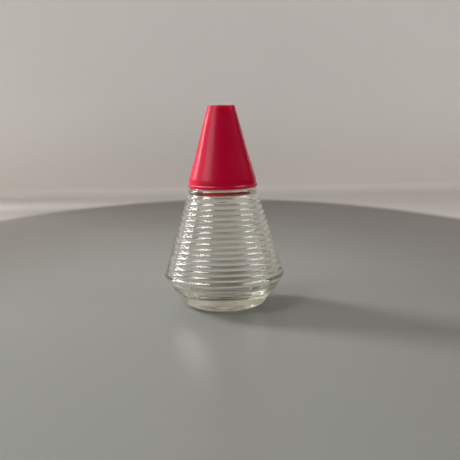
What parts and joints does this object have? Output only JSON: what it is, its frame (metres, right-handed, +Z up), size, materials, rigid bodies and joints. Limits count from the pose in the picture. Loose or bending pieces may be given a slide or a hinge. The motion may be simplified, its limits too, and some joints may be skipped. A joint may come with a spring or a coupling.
{
  "type": "salt shaker",
  "caption": "Conical table salt shaker: a ribbed clear glass jar closed by a red plastic screw hood with a perforated sprinkler insert in its top.",
  "frame": {"origin": "on the table, at the centre of the jar's resting ring", "axes": "+Z up along the common axis of jar, hood and insert; -Y is the side seen in the picture"},
  "size_m": [0.0602, 0.0602, 0.1],
  "materials": {
    "clear_glass": "clear moulded glass, slightly warm",
    "red_plastic": "satin, waxy red",
    "insert_plastic": "satin, slightly more orange red"
  },
  "bodies": {
    "jar": {"glass_jar": "clear_glass"},
    "insert": {"sprinkler_insert": "insert_plastic"},
    "hood": {"screw_hood": "red_plastic"}
  },
  "joints": [
    {"name": "cap_rise", "type": "slide", "parent": "jar", "child": "insert", "axis": [0, 0, 1], "range_m": [0, 0.0075]},
    {"name": "cap_turn", "type": "hinge", "parent": "insert", "child": "hood", "pos_m": [0, 0, 0.06], "axis": [0, 0, 1], "range_deg": [0, 630]}
  ],
  "couplings": [
    {"joint": "cap_rise", "follows": "cap_turn", "m_per_rad": 0.00067374}
  ]
}
